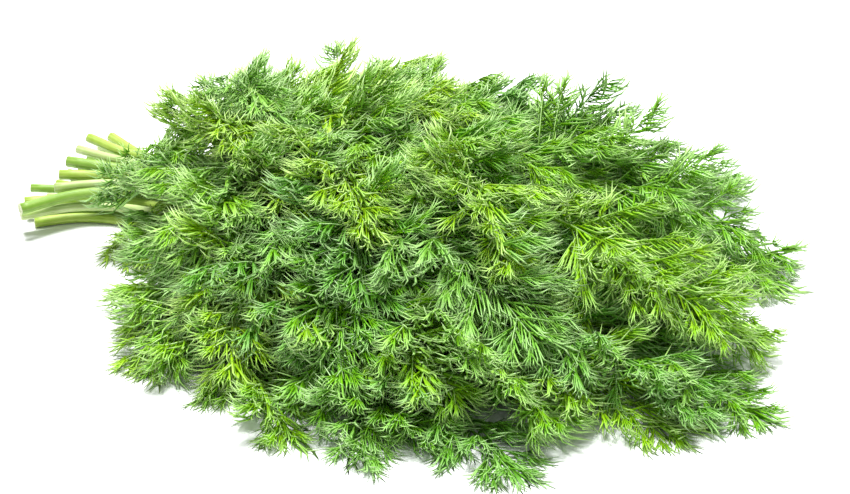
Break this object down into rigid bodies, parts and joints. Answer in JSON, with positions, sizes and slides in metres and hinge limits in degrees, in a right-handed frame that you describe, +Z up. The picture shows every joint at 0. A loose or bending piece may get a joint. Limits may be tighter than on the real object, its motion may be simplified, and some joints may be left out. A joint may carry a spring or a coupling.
{
  "type": "dill bunch",
  "caption": "Loose bunch of fresh dill lying on its side: leafy sprigs gathered at a neck near their cut ends and fanned out into a feathery heap.",
  "frame": {"origin": "on the surface the bunch lies on, under the middle of its bounding box", "axes": "+X from the cut ends to the leaf tips, +Y across the bunch, +Z up"},
  "size_m": [0.3323, 0.2583, 0.0827],
  "materials": {
    "dill_yellow_green": "matte",
    "dill_green": "matte",
    "dill_blue_green": "matte"
  },
  "bodies": {
    "root": {"dill_sprig_01": "dill_yellow_green", "dill_sprig_02": "dill_green", "dill_sprig_03": "dill_blue_green", "dill_sprig_04": "dill_yellow_green", "dill_sprig_05": "dill_green", "dill_sprig_06": "dill_blue_green", "dill_sprig_07": "dill_yellow_green", "dill_sprig_08": "dill_green", "dill_sprig_09": "dill_blue_green", "dill_sprig_10": "dill_yellow_green", "dill_sprig_11": "dill_green", "dill_sprig_12": "dill_blue_green", "dill_sprig_13": "dill_yellow_green", "dill_sprig_14": "dill_green", "dill_sprig_15": "dill_blue_green", "dill_sprig_16": "dill_yellow_green", "dill_sprig_17": "dill_green", "dill_sprig_18": "dill_blue_green", "dill_sprig_19": "dill_yellow_green", "dill_sprig_20": "dill_green", "dill_sprig_21": "dill_blue_green", "dill_sprig_22": "dill_yellow_green"}
  },
  "joints": []
}
